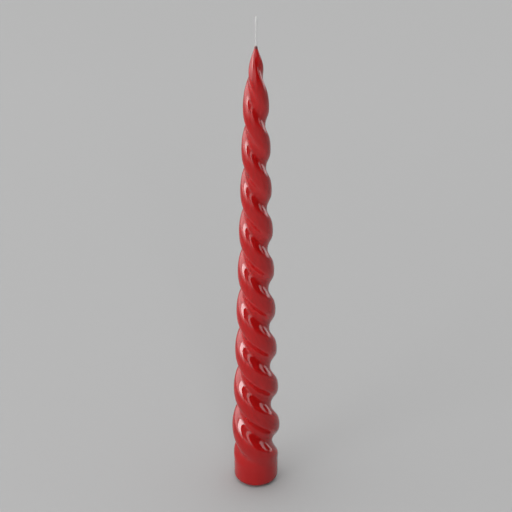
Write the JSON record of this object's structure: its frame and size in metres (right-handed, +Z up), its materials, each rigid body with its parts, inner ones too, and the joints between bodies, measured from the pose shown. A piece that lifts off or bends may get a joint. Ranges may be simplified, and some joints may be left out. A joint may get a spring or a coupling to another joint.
{
  "type": "twisted taper candle",
  "caption": "Twisted taper candle on a plain round foot, with a glossy coloured coat over a pale wax core and a straight wick out of its slim tip.",
  "frame": {"origin": "centre of the flat base, on the wick's axis", "axes": "+Z up the wick, from the foot to the tip; the crests of the strands turn left-handed about it"},
  "size_m": [0.0238, 0.0244, 0.2665],
  "materials": {
    "coat": "deep red dyed wax under clear gloss lacquer",
    "core": "undyed pale wax, cut flat at the base",
    "wick": "braided undyed cotton, primed with wax"
  },
  "bodies": {
    "root": {"red_coat": "coat", "wax_core": "core", "wick": "wick"}
  },
  "joints": []
}
